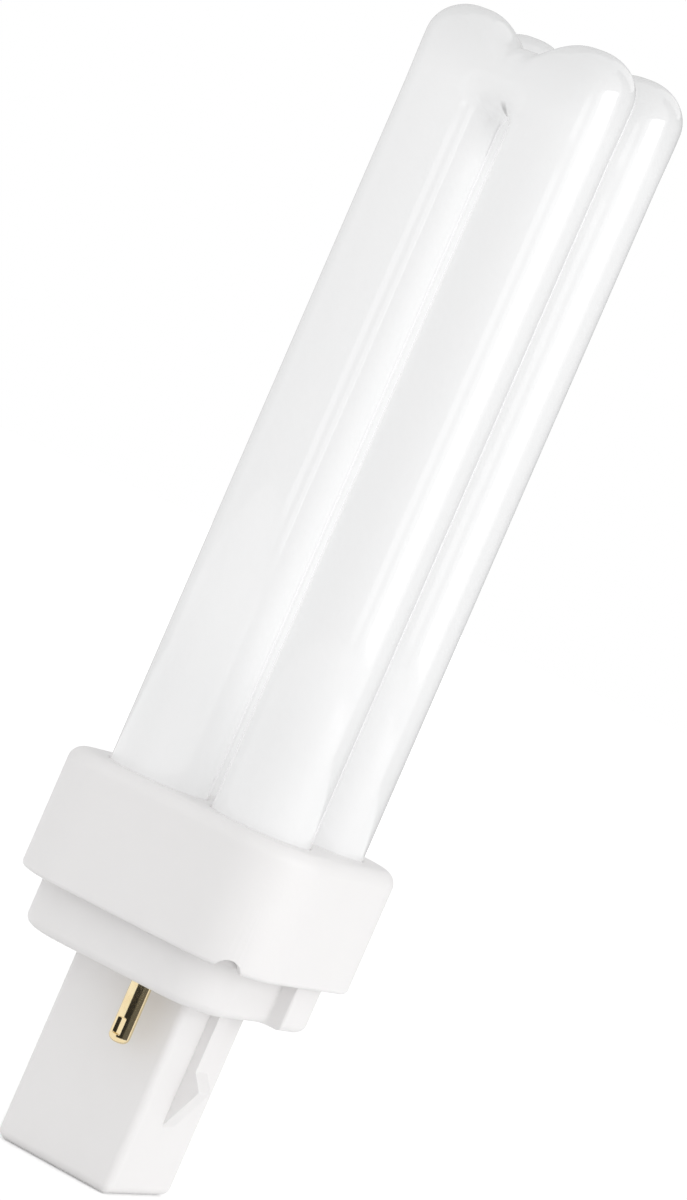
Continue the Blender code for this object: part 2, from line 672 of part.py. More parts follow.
def wire_runs():
    """Start, end of the bend and end of the straight tail of all eight wires."""
    glass_end = FOOT_LEVEL - GAP
    clear = 2 * WIRE_DIAMETER
    runs = {}
    for name, (pin_x, pin_y) in pin_places().items():
        place = name.removeprefix("contact_pin_")
        leg_y = math.copysign(ROW_AT, pin_y)
        toward_pin = math.copysign(PINCH_LEAD_SPREAD / 2, pin_x)
        ferrule_x = math.copysign(FERRULE_SPREAD / 2, pin_y)
        runs[f"pin_lead_{place}"] = ((-LEG_AT + toward_pin, leg_y, glass_end),
                                     (pin_x, pin_y, PIN_TOP + clear),
                                     (pin_x, pin_y, PIN_BORE_END + GAP))
        runs[f"starter_lead_{place}"] = ((-LEG_AT - toward_pin, leg_y, glass_end),
                                         (ferrule_x, 0.0, FERRULE_HIGH + clear),
                                         (ferrule_x, 0.0, FERRULE_MIDDLE + GAP / 2))
    for place, side in (("left", -1), ("right", 1)):
        ferrule_x = side * FERRULE_SPREAD / 2
        entry = FERRULE_LOW - WIRE_DIAMETER
        end = FERRULE_MIDDLE - GAP / 2
        runs[f"glow_lead_{place}"] = ((side * GLOW_LEAD_SPREAD / 2, STARTER_Y, STARTER_TOP + GAP),
                                      (ferrule_x, -FERRULE_WIRE_OFFSET, entry),
                                      (ferrule_x, -FERRULE_WIRE_OFFSET, end))
        capacitor_x = side * CAPACITOR_LEAD_SPREAD / 2
        runs[f"capacitor_lead_{place}"] = ((capacitor_x, CAPACITOR_Y, CAPACITOR_TOP + GAP),
                                           (ferrule_x, FERRULE_WIRE_OFFSET, entry),
                                           (ferrule_x, FERRULE_WIRE_OFFSET, end))
    return runs


def build_sleeve(name, bend, parts, cutters, fibre):
    """Insulating sleeve over the middle of a pin lead's bend."""
    first = round(len(bend) * SLEEVE_START)
    last = round(len(bend) * SLEEVE_END)
    sleeve = weld_evaluated(swept_wire(name, bend[first:last], SLEEVE_DIAMETER / 2, parts), parts, fibre)
    bore = swept_wire(f"bore {name}", bend[first - 1:last + 1], WIRE_RADIUS + GAP, cutters)
    apply_boolean(sleeve, weld_evaluated(bore, cutters), 'DIFFERENCE')


def build_ferrule(name, x, parts, cutters, brass):
    """Short tube that is crimped over three wires."""
    ferrule = make_object(name, round_bar(name, FERRULE_DIAMETER / 2, FERRULE_LOW, FERRULE_HIGH,
                                          SMALL_ROUND_STEPS), parts, brass)
    bore_name = f"bore {name}"
    bore = make_object(bore_name, round_bar(bore_name, FERRULE_BORE / 2, FERRULE_LOW - FERRULE_BORE,
                                            FERRULE_HIGH + FERRULE_BORE, SMALL_ROUND_STEPS), cutters)
    ferrule.location.x = x
    bore.location.x = x
    apply_boolean(ferrule, bore, 'DIFFERENCE')


def build_wires(parts, cutters, copper, fibre, brass):
    """All leads, the sleeves on the two pin leads, and the ferrules that join the starter's wires."""
    spacing = 2 * WIRE_DIAMETER
    for name, (start, bend_end, tail_end) in wire_runs().items():
        bend = bent_run(start, bend_end, spacing)
        swept_wire(name, bend + straight_run(bend_end, tail_end, spacing), WIRE_RADIUS, parts, copper)
        if name.startswith("pin_lead_"):
            build_sleeve(name.replace("pin_lead", "lead_sleeve"), bend, parts, cutters, fibre)
    for place, side in (("left", -1), ("right", 1)):
        build_ferrule(f"splice_ferrule_{place}", side * FERRULE_SPREAD / 2, parts, cutters, brass)


def main():
    """Build the whole lamp."""
    clear_scene()
    parts = make_collection("plug-in fluorescent lamp")
    cutters = make_collection("cutters")
    coated_glass = make_material("coated glass", (0.86, 0.86, 0.85), 0.12)
    white_plastic = make_material("white plastic", (0.80, 0.80, 0.79), 0.42)
    brass = make_material("pin brass", (0.80, 0.58, 0.24), 0.22, 1.0)
    cement = make_material("fixing cement", (0.72, 0.70, 0.64), 0.90)
    starter_glass = make_material("starter glass", (0.70, 0.74, 0.74), 0.10)
    film = make_material("capacitor coating", (0.55, 0.33, 0.10), 0.40)
    copper = make_material("tinned wire", (0.66, 0.64, 0.60), 0.35, 1.0)
    fibre = make_material("fibre sleeve", (0.88, 0.87, 0.80), 0.85)
    build_glass(parts, cutters, coated_glass)
    build_collar(parts, cutters, white_plastic)
    build_cement(parts, cutters, cement)
    build_pin_base(parts, cutters, white_plastic)
    build_pins(parts, cutters, brass)
    build_starter(parts, starter_glass, film)
    build_wires(parts, cutters, copper, fibre, brass)


if __name__ == "__main__":
    main()
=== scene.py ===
"""Looks of a plug-in fluorescent lamp: two coated glass U tubes on a white two-pin base.

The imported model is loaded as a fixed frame. The surfaces that show are built again as fine meshes, and every
piece gets a procedural finish. All lengths are in metres. +Z runs up the lamp's axis, -Y is the side of the
front pin, and the lamp stands on the end of its post at Z = 0.
"""
import logging
import math
from dataclasses import dataclass
from enum import Enum

import bmesh
import bpy
import numpy as np
from bpy.types import ID, Material, NodeSocket, NodeTree, Object
from mathutils import Matrix, Vector


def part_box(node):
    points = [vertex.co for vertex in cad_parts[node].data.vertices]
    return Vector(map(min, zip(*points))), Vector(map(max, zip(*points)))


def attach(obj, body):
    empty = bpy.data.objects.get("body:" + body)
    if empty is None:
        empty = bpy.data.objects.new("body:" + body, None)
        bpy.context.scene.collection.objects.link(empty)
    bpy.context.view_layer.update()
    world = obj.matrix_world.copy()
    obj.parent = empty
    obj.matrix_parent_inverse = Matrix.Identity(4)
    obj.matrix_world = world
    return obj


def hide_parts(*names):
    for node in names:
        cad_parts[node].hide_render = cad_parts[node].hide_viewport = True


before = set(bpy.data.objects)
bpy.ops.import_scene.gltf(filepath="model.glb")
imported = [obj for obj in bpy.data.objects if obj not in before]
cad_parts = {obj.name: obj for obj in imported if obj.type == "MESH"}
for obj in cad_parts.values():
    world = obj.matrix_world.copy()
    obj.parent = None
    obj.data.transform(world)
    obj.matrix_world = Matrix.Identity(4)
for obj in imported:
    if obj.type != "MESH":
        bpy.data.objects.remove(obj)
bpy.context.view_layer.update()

BODY = "root"
LOG = logging.getLogger("lamp")

PIN_SPACING = 0.0240
PIN_OFFSET_X = 0.0034
ROUND_POINTS = 96
SMALL_ROUND_POINTS = 64


# Meshes

def add_object(name: str, data: ID) -> Object:
    """Put an object into the scene.

    Args:
        name: Name of the object.
        data: Its mesh, light or camera.

    Returns:
        The object, at the origin.
    """
    item = bpy.data.objects.new(name, data)
    bpy.context.scene.collection.objects.link(item)
    return item


def closed_tube(name: str, rings: np.ndarray) -> Object:
    """Closed surface through a row of rings, with a flat face over the first and the last.

    Point j of ring i is joined to point j + 1 of the same ring and to the same two points of ring i + 1.

    Args:
        name: Name of the object.
        rings: Points, as an array of rings by points by three.

    Returns:
        The object, with its faces turned outward.
    """
    count, around = rings.shape[:2]
    index = np.arange(count * around).reshape(count, around)
    after = np.roll(index, -1, axis=1)
    quads = np.stack([index[:-1], after[:-1], after[1:], index[1:]], axis=-1).reshape(-1, 4)
    mesh = bpy.data.meshes.new(name)
    ends = [index[0].tolist(), index[-1].tolist()]
    mesh.from_pydata(rings.reshape(-1, 3).tolist(), [], quads.tolist() + ends)
    shape = bmesh.new()
    shape.from_mesh(mesh)
    bmesh.ops.recalc_face_normals(shape, faces=shape.faces)
    shape.to_mesh(mesh)
    shape.free()
    return add_object(name, mesh)


def oval_rings(widths: np.ndarray, depths: np.ndarray, levels: np.ndarray,
               around: int = ROUND_POINTS) -> np.ndarray:
    """Level ovals about Z: (width cos a, depth sin a, level).

    Args:
        widths: Half width of each oval, along X.
        depths: Half depth of each oval, along Y.
        levels: Height of each oval.
        around: Points in an oval.

    Returns:
        Points, as an array of ovals by points by three.
    """
    angle = np.linspace(0.0, 2 * np.pi, around, endpoint=False)
    return np.stack([widths[:, None] * np.cos(angle), depths[:, None] * np.sin(angle),
                     levels[:, None] + 0.0 * angle], axis=-1)


def rod(name: str, radius: float, low: float, high: float, around: int = SMALL_ROUND_POINTS) -> Object:
    """Upright round rod about Z, from one level to another."""
    radii = np.full(2, radius)
    return closed_tube(name, oval_rings(radii, radii, np.array([low, high]), around))


def settle(item: Object) -> Object:
    """Apply an object's modifiers and its place.

    Args:
        item: The object.

    Returns:
        The same object, unturned at the origin.
    """
    bpy.context.view_layer.update()
    graph = bpy.context.evaluated_depsgraph_get()
    mesh = bpy.data.meshes.new_from_object(item.evaluated_get(graph), depsgraph=graph)
    mesh.transform(item.matrix_world)
    item.modifiers.clear()
    item.data = mesh
    item.matrix_world = Matrix.Identity(4)
    return item


class Join(Enum):
    """Ways to combine two solids."""

    ADD = 'UNION'
    CUT = 'DIFFERENCE'


def combine(target: Object, tools: list[Object], how: Join) -> None:
    """Add helper solids to a piece or cut them away, and remove the helpers.

    Args:
        target: The piece.
        tools: Closed helper solids, used up by the call.
        how: Whether they are added or cut.
    """
    for tool in tools:
        modifier = target.modifiers.new(tool.name, 'BOOLEAN')
        modifier.operation = how.value
        modifier.object = tool
    settle(target)
    for tool in tools:
        bpy.data.objects.remove(tool, do_unlink=True)


def shade(item: Object, sharp_degrees: float, weighted: bool = True) -> None:
    """Shade a piece smooth across gentle angles.

    Args:
        item: The piece.
        sharp_degrees: Angle between faces from which an edge stays sharp.
        weighted: Whether large flat faces are kept flat by weighted normals.
    """
    item.data.shade_smooth()
    item.data.set_sharp_from_angle(angle=math.radians(sharp_degrees))
    if weighted:
        modifier = item.modifiers.new("flat faces stay flat", 'WEIGHTED_NORMAL')
        modifier.keep_sharp = True
        settle(item)


class Section:
    """Upright section of a moulding: inset from its plan outline against level, point after point."""

    def __init__(self, inset: float, level: float) -> None:
        """Start the section at one point."""
        self.insets = np.array([inset])
        self.levels = np.array([level])

    def line(self, inset: float, level: float) -> "Section":
        """Go straight to a point."""
        self.insets, self.levels = np.append(self.insets, inset), np.append(self.levels, level)
        return self

    def bend(self, inset: float, level: float, flat_first: bool, steps: int = 8) -> "Section":
        """Go to a point along a quarter of an ellipse: a sine one way, one less a cosine the other way.

        Args:
            inset: Inset of the end point.
            level: Level of the end point.
            flat_first: Whether it sets off level and ends upright, or the other way round.
            steps: Number of points.

        Returns:
            The section itself.
        """
        sweep = np.linspace(0.0, np.pi / 2, steps + 1)[1:]
        fast, slow = np.sin(sweep), 1 - np.cos(sweep)
        across, up = (fast, slow) if flat_first else (slow, fast)
        self.insets, self.levels = (
            np.append(self.insets, self.insets[-1] + (inset - self.insets[-1]) * across),
            np.append(self.levels, self.levels[-1] + (level - self.levels[-1]) * up))
        return self


@dataclass(frozen=True)
class Plan:
    """Closed outline in plan, counter-clockwise, whose right-angled corners each have their own round."""

    corners: tuple[tuple[float, float, float], ...]
    steps: int = 16
    smallest_round: float = 0.00002

    @classmethod
    def rectangle(cls, half_x: float, half_y: float, corner: float) -> "Plan":
        """Plan of a rectangle with equal rounds, from half its widths."""
        return cls(tuple((x * half_x, y * half_y, corner) for x, y in ((1, -1), (1, 1), (-1, 1), (-1, -1))))

    def rings(self, section: Section) -> np.ndarray:
        """Outline drawn inward by each inset of a section, at each of its levels.

        A corner with outward edge normals n1 and n2 moves by -inset (n1 + n2). Its round shrinks by the inset
        if it is convex and grows by it if it is hollow, and runs as centre +- round (n1 cos t + n2 sin t).

        Args:
            section: Insets and levels.

        Returns:
            Points, as an array of levels by points by three.
        """
        table = np.array(self.corners)
        place, radius = table[:, :2], table[:, 2]
        ahead = np.roll(place, -1, axis=0) - place
        ahead /= np.linalg.norm(ahead, axis=1, keepdims=True)
        behind = np.roll(ahead, 1, axis=0)
        before = np.stack([behind[:, 1], -behind[:, 0]], axis=1)
        beyond = np.stack([ahead[:, 1], -ahead[:, 0]], axis=1)
        turn = np.sign(behind[:, 0] * ahead[:, 1] - behind[:, 1] * ahead[:, 0])
        inset = section.insets[:, None]
        reach = (turn * np.maximum(radius - turn * inset, self.smallest_round))[..., None]
        centre = place - (inset[..., None] + reach) * (before + beyond)
        sweep = np.linspace(0.0, np.pi / 2, self.steps + 1)[None, :, None]
        toward = before[:, None] * np.cos(sweep) + beyond[:, None] * np.sin(sweep)
        flat = (centre[:, :, None] + reach[:, :, None] * toward).reshape(len(section.insets), -1, 2)
        level = np.broadcast_to(section.levels[:, None, None], (*flat.shape[:2], 1))
        return np.concatenate([flat, level], axis=-1)


# Finishes

Colour = tuple[float, float, float]
Span = tuple[float, float]
WHITE = (1.0, 1.0, 1.0, 1.0)
SHADER = "Principled BSDF"


def node_material(name: str, values: dict[str, float | tuple[float, ...]]) -> Material:
    """Node material with uniform values on its shader's own sockets.

    Args:
        name: Name of the material.
        values: Value for each socket's name.

    Returns:
        The material.
    """
    material = bpy.data.materials.new(name)
    material.use_nodes = True
    for socket, value in values.items():
        material.node_tree.nodes[SHADER].inputs[socket].default_value = value
    return material


class Pattern(Enum):
    """Procedural patterns that a layer of a finish can show, with their nodes."""

    CLOUDS = "ShaderNodeTexNoise"
    BANDS = "ShaderNodeTexWave"
    GRAINS = "ShaderNodeTexVoronoi"


@dataclass(frozen=True)
class Layer:
    """One pattern of a finish, and what it does to colour, gloss and height."""

    pattern: Pattern
    size: float
    stretch: tuple[float, float, float] = (1.0, 1.0, 1.0)
    tint: Colour | None = None
    roughness: float = 0.0
    height: float = 0.0
    cloud_detail: float = 3.0
    band_distortion: float = 1.5

    def build(self, tree: NodeTree, place: NodeSocket) -> NodeSocket:
        """Add the pattern's nodes on Object coordinates divided by its size.

        Args:
            tree: Node tree of the material.
            place: Object coordinates.

        Returns:
            The pattern's value from 0 to 1.
        """
        scaling = tree.nodes.new("ShaderNodeMapping")
        scaling.inputs["Scale"].default_value = [part / self.size for part in self.stretch]
        tree.links.new(place, scaling.inputs["Vector"])
        texture = tree.nodes.new(self.pattern.value)
        if self.pattern is Pattern.CLOUDS:
            texture.inputs["Detail"].default_value = self.cloud_detail
        elif self.pattern is Pattern.BANDS:
            texture.bands_direction = 'Z'
            texture.inputs["Distortion"].default_value = self.band_distortion
        texture.inputs["Scale"].default_value = 1.0
        tree.links.new(scaling.outputs["Vector"], texture.inputs["Vector"])
        return texture.outputs["Distance" if self.pattern is Pattern.GRAINS else "Fac"]


@dataclass(frozen=True)
class Sums:
    """Arithmetic nodes of one node tree."""

    tree: NodeTree

    def calculate(self, operation: str, *terms: NodeSocket | float) -> NodeSocket:
        """Add a Math node.

        Args:
            operation: What it does.
            terms: Its inputs, linked where they are sockets and set where they are numbers.

        Returns:
            The result.
        """
        node = self.tree.nodes.new("ShaderNodeMath")
        node.operation = operation
        for term, socket in zip(terms, node.inputs):
            if isinstance(term, NodeSocket):
                self.tree.links.new(term, socket)
            else:
                socket.default_value = term
        return node.outputs[0]

    def share(self, value: NodeSocket, start: float, end: float) -> NodeSocket:
        """Add a clamped range.

        Args:
            value: What is measured.
            start: Where the result is 0.
            end: Where the result is 1.

        Returns:
            The result.
        """
        node = self.tree.nodes.new("ShaderNodeMapRange")
        node.inputs["From Min"].default_value = start
        node.inputs["From Max"].default_value = end
        self.tree.links.new(value, node.inputs["Value"])
        return node.outputs["Result"]


@dataclass(frozen=True)
class PaintedGlow:
    """Painted light: an emission that stands in for light passing through the coated glass and bouncing
    between the tubes. It is painted brighter between its legs, with painted shade at its ends, dome tops and
    crease.

    Each reach is a distance at which an effect is nil, then one at which it is full. Levels are heights.
    """

    even: float
    between: float
    between_reach: Span
    core: float
    core_reach: Span
    foot_fade: Span
    crotch_fade: Span
    top_loss: float
    top_levels: Span
    foot_loss: float
    foot_levels: Span
    crease_loss: float
    crease_left: Span
    crease_right: Span
    crease_top: Span
    crease_foot: Span

    def build(self, tree: NodeTree, place: NodeSocket) -> NodeSocket:
        """Nodes for the painted light: even (1 - top loss u - foot loss v - crease loss w) + (between t^2 +
        core c^2) f s.

        t and c run from 0 to 1 along their reach, t by distance from the plane X = 0 and c by distance from
        the lamp's axis. f fades out at the foot and s at the crotch. u and v run from 0 to 1 between their
        two levels. w is 1 in the crease alone, the product of a share from each of its four sides.

        Args:
            tree: Node tree of the material.
            place: Object coordinates.

        Returns:
            The strength of the light.
        """
        calculate, share = Sums(tree).calculate, Sums(tree).share
        parts = tree.nodes.new("ShaderNodeSeparateXYZ")
        tree.links.new(place, parts.inputs[0])
        along_x, along_y, height = parts.outputs
        near = share(calculate('ABSOLUTE', along_x), *self.between_reach)
        squares = calculate('MULTIPLY_ADD', along_x, along_x, calculate('MULTIPLY', along_y, along_y))
        deep = share(calculate('SQRT', squares), *self.core_reach)
        inner = calculate('MULTIPLY_ADD', calculate('POWER', near, 2.0), self.between,
                          calculate('MULTIPLY', calculate('POWER', deep, 2.0), self.core))
        fade = calculate('MULTIPLY', share(height, *self.foot_fade), share(height, *self.crotch_fade[::-1]))
        across = calculate('MULTIPLY', share(along_x, *self.crease_left), share(along_x, *self.crease_right))
        along = calculate('MULTIPLY', share(height, *self.crease_top), share(height, *self.crease_foot))
        # Painted shade: each loss darkens the glow, at the dome tops, at the foot by the collar and in the
        # crease at the crotch
        strength = self.even
        for loss, part in ((self.top_loss, share(height, *self.top_levels)),
                           (self.foot_loss, share(height, *self.foot_levels)),
                           (self.crease_loss, calculate('MULTIPLY', across, along))):
            strength = calculate('MULTIPLY_ADD', part, -self.even * loss, strength)
        # Painted light: extra glow between the legs and near the lamp's axis, faded at the foot and the crotch
        return calculate('MULTIPLY_ADD', inner, fade, strength)


@dataclass(frozen=True)
class Finish:
    """A surface finish: a base colour and gloss, with layers of pattern over them, and for some a painted
    glow.
    """

    name: str
    slot: str
    colour: Colour
    roughness: float
    layers: tuple[Layer, ...]
    metallic: float = 0.0
    specular: float = 0.5
    coat: float = 0.0
    coat_roughness: float = 0.03
    coat_ior: float = 1.5
    # Painted light and painted shade, drawn as an emission over the surface
    glow: PaintedGlow | None = None

    def cover(self, item: Object) -> None:
        """Give a piece this finish alone, whose material is built once."""
        item.data.materials.clear()
        item.data.materials.append(bpy.data.materials.get(self.name) or self._build())

    def _build(self) -> Material:
        """Set the shader's own sockets, then link the patterns that vary over the surface.

        Returns:
            The material.
        """
        material = node_material(self.name, {
            "Base Color": (*self.colour, 1.0), "Roughness": self.roughness, "Metallic": self.metallic,
            "Specular IOR Level": self.specular, "Coat Weight": self.coat,
            "Coat Roughness": self.coat_roughness, "Coat IOR": self.coat_ior, "Emission Color": WHITE})
        tree = material.node_tree
        place = tree.nodes.new("ShaderNodeTexCoord").outputs["Object"]
        results: dict[str, NodeSocket] = {}
        for layer in self.layers:
            self._add(tree, layer, layer.build(tree, place), results)
        if "Normal" in results:
            results["Coat Normal"] = results["Normal"]
        # Painted light: the glow's strength drives the emission
        if self.glow:
            results["Emission Strength"] = self.glow.build(tree, place)
        for name, result in results.items():
            tree.links.new(result, tree.nodes[SHADER].inputs[name])
        return material

    def _add(self, tree: NodeTree, layer: Layer, value: NodeSocket, results: dict[str, NodeSocket]) -> None:
        """Let a layer tint the colour, add to the roughness and lift the surface, by its pattern's value.

        Args:
            tree: Node tree of the material.
            layer: The layer.
            value: The pattern's value.
            results: What the layers below give to the shader's inputs, which the layer adds to.
        """
        if layer.tint:
            mix = tree.nodes.new("ShaderNodeMix")
            mix.data_type = 'RGBA'
            # Inputs 0, 6 and 7 are the factor and the two colours, and output 2 is the mixed colour
            mix.inputs[6].default_value = (*self.colour, 1.0)
            mix.inputs[7].default_value = (*layer.tint, 1.0)
            tree.links.new(value, mix.inputs[0])
            if "Base Color" in results:
                tree.links.new(results["Base Color"], mix.inputs[6])
            results["Base Color"] = mix.outputs[2]
        if layer.roughness:
            results["Roughness"] = Sums(tree).calculate('MULTIPLY_ADD', value, layer.roughness,
                                                        results.get("Roughness", self.roughness))
        if layer.height:
            bump = tree.nodes.new("ShaderNodeBump")
            bump.inputs["Distance"].default_value = layer.height
            tree.links.new(value, bump.inputs["Height"])
            if "Normal" in results:
                tree.links.new(results["Normal"], bump.inputs["Normal"])
            results["Normal"] = bump.outputs["Normal"]


COATED_GLASS = Finish(
    "coated glass", "coated_glass", (0.500, 0.500, 0.501), 0.55,
    (Layer(Pattern.CLOUDS, 0.009, (1.0, 1.0, 0.35), tint=(0.485, 0.487, 0.490)),
     Layer(Pattern.CLOUDS, 0.006, (1.0, 1.0, 0.3), height=0.00004)),
    specular=0.2, coat=1.0, coat_roughness=0.05, coat_ior=1.75,
    # Painted light: the glass glows, brighter between the legs, with painted shade at the dome tops, the foot
    # and the crease at the crotch
    glow=PaintedGlow(even=0.40, between=0.112, between_reach=(0.0037, 0.0011),
              core=0.10, core_reach=(0.0072, 0.0047),
              foot_fade=(0.0400, 0.0600), crotch_fade=(0.1225, 0.1280),
              top_loss=0.29, top_levels=(0.130, 0.140), foot_loss=0.08, foot_levels=(0.0660, 0.0550),
              crease_loss=0.95, crease_left=(0.0003, 0.0006), crease_right=(0.0013, 0.0010),
              crease_top=(0.1297, 0.1290), crease_foot=(0.1264, 0.1272)))
WHITE_PLASTIC = Finish(
    "moulded white plastic", "white_plastic", (0.860, 0.848, 0.846), 0.40,
    (Layer(Pattern.CLOUDS, 0.0065, tint=(0.842, 0.830, 0.826)),
     Layer(Pattern.CLOUDS, 0.00045, roughness=0.10, height=0.000008),
     Layer(Pattern.CLOUDS, 0.0040, height=0.00003)))
PIN_BRASS = Finish(
    "polished pin brass", "pin_brass", (0.88, 0.77, 0.51), 0.05,
    (Layer(Pattern.CLOUDS, 0.0012, tint=(0.80, 0.62, 0.34), roughness=0.10),
     Layer(Pattern.BANDS, 0.00030, roughness=0.04, height=0.0000012),
     Layer(Pattern.CLOUDS, 0.0006, height=0.000006)),
    metallic=1.0)
CEMENT = Finish(
    "fixing cement", "cement", (0.72, 0.70, 0.64), 0.90,
    (Layer(Pattern.CLOUDS, 0.0012, tint=(0.60, 0.58, 0.52), height=0.00010),
     Layer(Pattern.GRAINS, 0.0004, height=0.00005)))
STARTER_GLASS = Finish(
    "starter glass", "starter_glass", (0.70, 0.74, 0.74), 0.08,
    (Layer(Pattern.CLOUDS, 0.0020, tint=(0.62, 0.67, 0.67), roughness=0.08),), coat=0.6)
CAPACITOR_COATING = Finish(
    "capacitor coating", "capacitor_coating", (0.55, 0.33, 0.10), 0.35,
    (Layer(Pattern.CLOUDS, 0.0015, tint=(0.45, 0.25, 0.07), roughness=0.15, height=0.00004),))
TINNED_WIRE = Finish(
    "tinned wire", "tinned_wire", (0.66, 0.64, 0.60), 0.30,
    (Layer(Pattern.CLOUDS, 0.0005, tint=(0.52, 0.50, 0.47), roughness=0.20),), metallic=1.0)
FIBRE_SLEEVE = Finish(
    "fibre sleeve", "fibre_sleeve", (0.88, 0.87, 0.80), 0.85,
    (Layer(Pattern.GRAINS, 0.00025, tint=(0.76, 0.74, 0.66), height=0.00006),))
FERRULE_BRASS = Finish(
    "ferrule brass", "ferrule_brass", (0.78, 0.60, 0.30), 0.28,
    (Layer(Pattern.CLOUDS, 0.0007, tint=(0.62, 0.45, 0.20), roughness=0.20),), metallic=1.0)

# Finishes of the hidden solids, by a part of their names
INNER_FINISHES = {
    "fixing_cement": CEMENT, "starter_bulb": STARTER_GLASS, "starter_capacitor": CAPACITOR_COATING,
    "_lead_": TINNED_WIRE, "lead_sleeve": FIBRE_SLEEVE, "splice_ferrule": FERRULE_BRASS,
}


def dress(item: Object, finish: Finish, node: str) -> None:
    """Give a finished piece its material, its body and the solid that it stands for.

    Args:
        item: The piece.
        finish: Its finish.
        node: The solid that it replaces.
    """
    finish.cover(item)
    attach(item, BODY)
    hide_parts(node)
    LOG.info("%s: %d faces, %s, for %s", item.name, len(item.data.polygons), finish.name, node)


# Studio

def matt_material(name: str, grey: float, glow: float = 0.0) -> Material:
    """Matt grey material with a white glow, for what stands round the lamp."""
    return node_material(name, {"Base Color": (grey, grey, grey, 1.0), "Roughness": 1.0,
                                "Emission Color": WHITE, "Emission Strength": glow})


def level_sheet(name: str, half: float, level: float, upward: bool) -> Object:
    """Flat square about the lamp's axis.

    Args:
        name: Name of the object.
        half: Half its width.
        level: Its height.
        upward: Whether it faces up, or down.

    Returns:
        The object.
    """
    mesh = bpy.data.meshes.new(name)
    corners = [(-half, -half, level), (half, -half, level), (half, half, level), (-half, half, level)]
    mesh.from_pydata(corners, [], [(0, 1, 2, 3) if upward else (0, 3, 2, 1)])
    return add_object(name, mesh)


@dataclass(frozen=True)
class Card:
    """Upright card, curved round the lamp's axis, that shows in reflections only: dark, or with a glow."""

    name: str
    azimuths: Span
    distance: float
    levels: Span
    glow: float = 0.0
    grey: float = 0.02
    faces: int = 24

    def build(self) -> None:
        """Draw the card as an arc of flat faces, from azimuths in degrees turned from -Y towards +X."""
        azimuth = np.radians(np.linspace(*self.azimuths, self.faces + 1))[None, :]
        level = np.array(self.levels)[:, None]
        across, along = self.distance * np.sin(azimuth), -self.distance * np.cos(azimuth)
        points = np.stack(np.broadcast_arrays(across, along, level), axis=-1)
        index = np.arange(2 * (self.faces + 1)).reshape(2, -1)
        quads = np.stack([index[0, :-1], index[0, 1:], index[1, 1:], index[1, :-1]], axis=-1)
        mesh = bpy.data.meshes.new(self.name)
        mesh.from_pydata(points.reshape(-1, 3).tolist(), [], quads.tolist())
        mesh.materials.append(matt_material(self.name, self.grey, self.glow))
        card = add_object(self.name, mesh)
        card.visible_camera = False
        card.visible_diffuse = False
        card.visible_shadow = False


